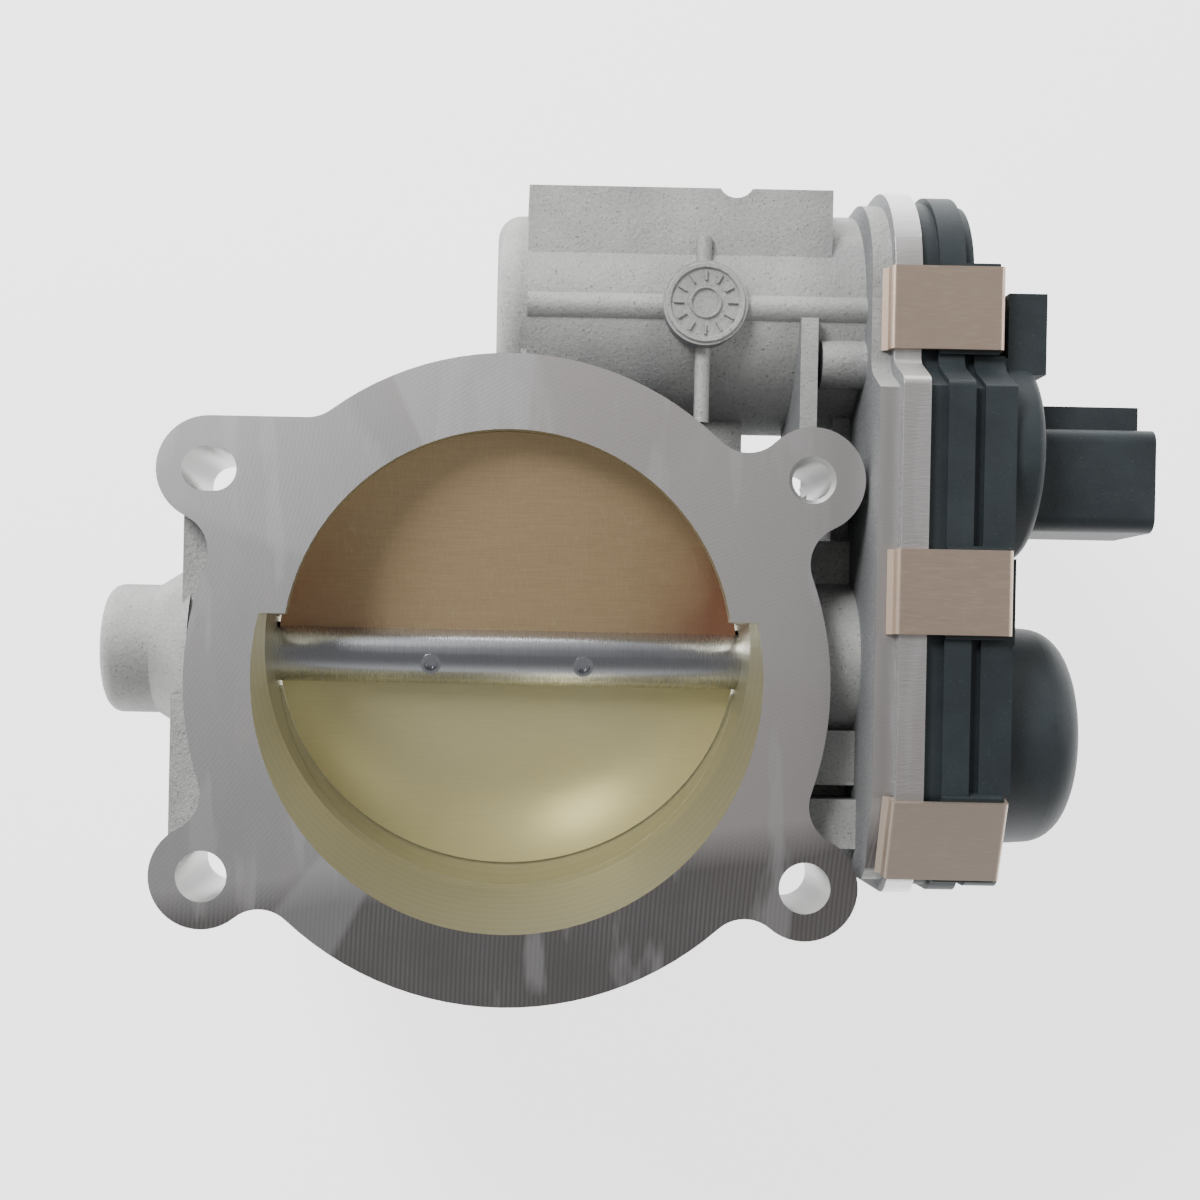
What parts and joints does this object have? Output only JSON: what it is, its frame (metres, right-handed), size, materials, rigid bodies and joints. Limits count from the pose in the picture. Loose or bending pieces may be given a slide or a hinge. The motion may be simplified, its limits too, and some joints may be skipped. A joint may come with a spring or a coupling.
{
  "type": "throttle body",
  "caption": "Electronic throttle body: brass butterfly plate in a flanged cast bore, turned by a side motor through a covered gear train.",
  "frame": {"origin": "centre of the bolt pattern on the machined manifold face", "axes": "+Z out of the manifold face along the bore, +X along the throttle shaft towards the gear cover, +Y across the bore towards the motor"},
  "size_m": [0.192, 0.1514, 0.0973],
  "materials": {
    "cast_aluminium": "as cast, machined on the faces",
    "bright_steel": "ground",
    "plate_brass": "brushed",
    "bearing_steel": "polished",
    "zinc_steel": "zinc plated",
    "spring_steel": "oiled",
    "clip_steel": "satin, heat tinted",
    "lamination_steel": "stacked laminations",
    "seal_rubber": "smooth",
    "gear_nylon": "moulded nylon",
    "cover_plastic": "fine textured, glass filled",
    "copper_alloy": "bright",
    "copper_wire": "enamelled",
    "tinned_copper": "tin plated",
    "ferrite": "sintered ferrite",
    "carbon": "carbon block",
    "board_green": "solder mask",
    "chip_black": "moulded"
  },
  "bodies": {
    "root": {"housing": "cast_aluminium", "needle_bearing_shell": "bearing_steel", "needle_rollers": "bearing_steel", "end_plug": "zinc_steel", "bearing_outer_race": "bearing_steel", "bearing_balls": "bearing_steel", "shaft_seals": "seal_rubber", "return_spring": "spring_steel", "idler_pin": "bearing_steel", "motor_can": "zinc_steel", "motor_magnets": "ferrite", "motor_bushes": "copper_alloy", "motor_end_cap": "cover_plastic", "motor_bracket": "zinc_steel", "motor_screws": "zinc_steel", "motor_brushes": "carbon", "spring_washer": "spring_steel", "gear_cover": "cover_plastic", "cover_seal": "seal_rubber", "circuit_board": "board_green", "sensor_chip": "chip_black", "connector_pins": "tinned_copper", "motor_terminals": "tinned_copper", "cover_clips": "clip_steel"},
    "throttle": {"throttle_shaft": "bright_steel", "throttle_plate": "plate_brass", "plate_screws": "bright_steel", "bearing_inner_race": "bearing_steel", "gear_insert": "bright_steel", "sector_gear": "gear_nylon", "sensor_rotor": "copper_alloy"},
    "idler": {"idler_gear": "gear_nylon"},
    "motor_rotor": {"armature_core": "lamination_steel", "armature_windings": "copper_wire", "commutator": "copper_alloy", "motor_shaft": "bright_steel", "motor_pinion": "copper_alloy"}
  },
  "joints": [
    {"name": "throttle_turn", "type": "hinge", "parent": "root", "child": "throttle", "pos_m": [0, 0.0042, -0.02], "axis": [1, 0, 0], "range_deg": [-8, 60], "stiffness_Nm_per_rad": 0.4, "deforming": ["return_spring"]},
    {"name": "idler_turn", "type": "hinge", "parent": "root", "child": "idler", "pos_m": [0, 0.0375, -0.02686], "axis": [1, 0, 0], "range_deg": [-240, 40]},
    {"name": "motor_turn", "type": "hinge", "parent": "root", "child": "motor_rotor", "pos_m": [0, 0.0695, -0.027], "axis": [1, 0, 0], "range_deg": [-90, 600]}
  ],
  "couplings": [
    {"joint": "idler_turn", "follows": "throttle_turn", "ratio": -3.8571},
    {"joint": "motor_turn", "follows": "throttle_turn", "ratio": 9.8571}
  ]
}
